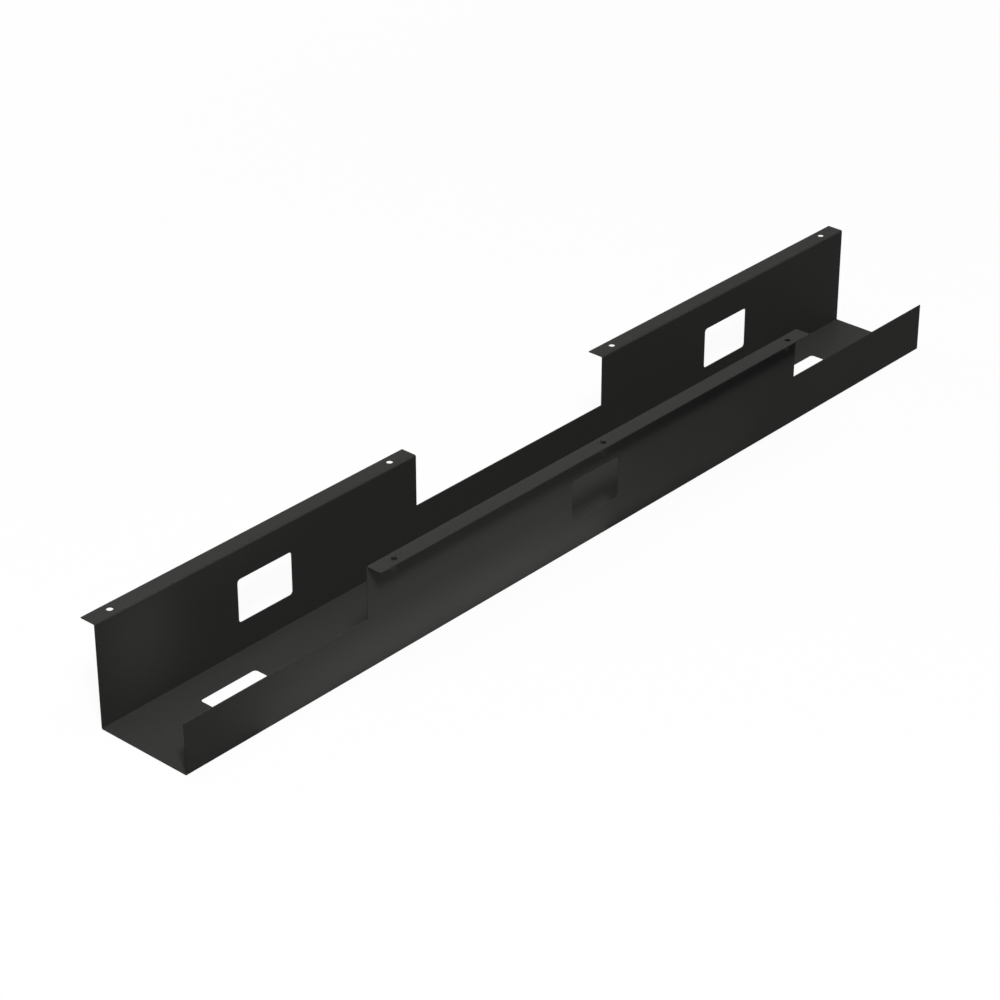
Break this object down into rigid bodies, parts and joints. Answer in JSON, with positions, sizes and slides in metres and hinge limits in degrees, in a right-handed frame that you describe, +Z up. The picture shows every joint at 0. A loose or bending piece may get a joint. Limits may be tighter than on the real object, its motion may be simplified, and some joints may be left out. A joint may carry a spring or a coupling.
{
  "type": "cable tray",
  "caption": "Under-desk cable tray folded from sheet steel: open channel, notched back wall, stepped front wall, cable windows and outward screw flanges.",
  "frame": {"origin": "middle of the underside of the channel, half-way along its length", "axes": "+X along the channel, +Y from the stepped front wall towards the notched back wall, +Z up towards the desk top"},
  "size_m": [1.2, 0.158, 0.12],
  "materials": {
    "powder_coat": "satin black powder coat with a fine even texture"
  },
  "bodies": {
    "root": {"bottom_panel": "powder_coat", "back_wall": "powder_coat", "front_wall": "powder_coat", "back_flange_left": "powder_coat", "back_flange_right": "powder_coat", "front_flange": "powder_coat"}
  },
  "joints": []
}
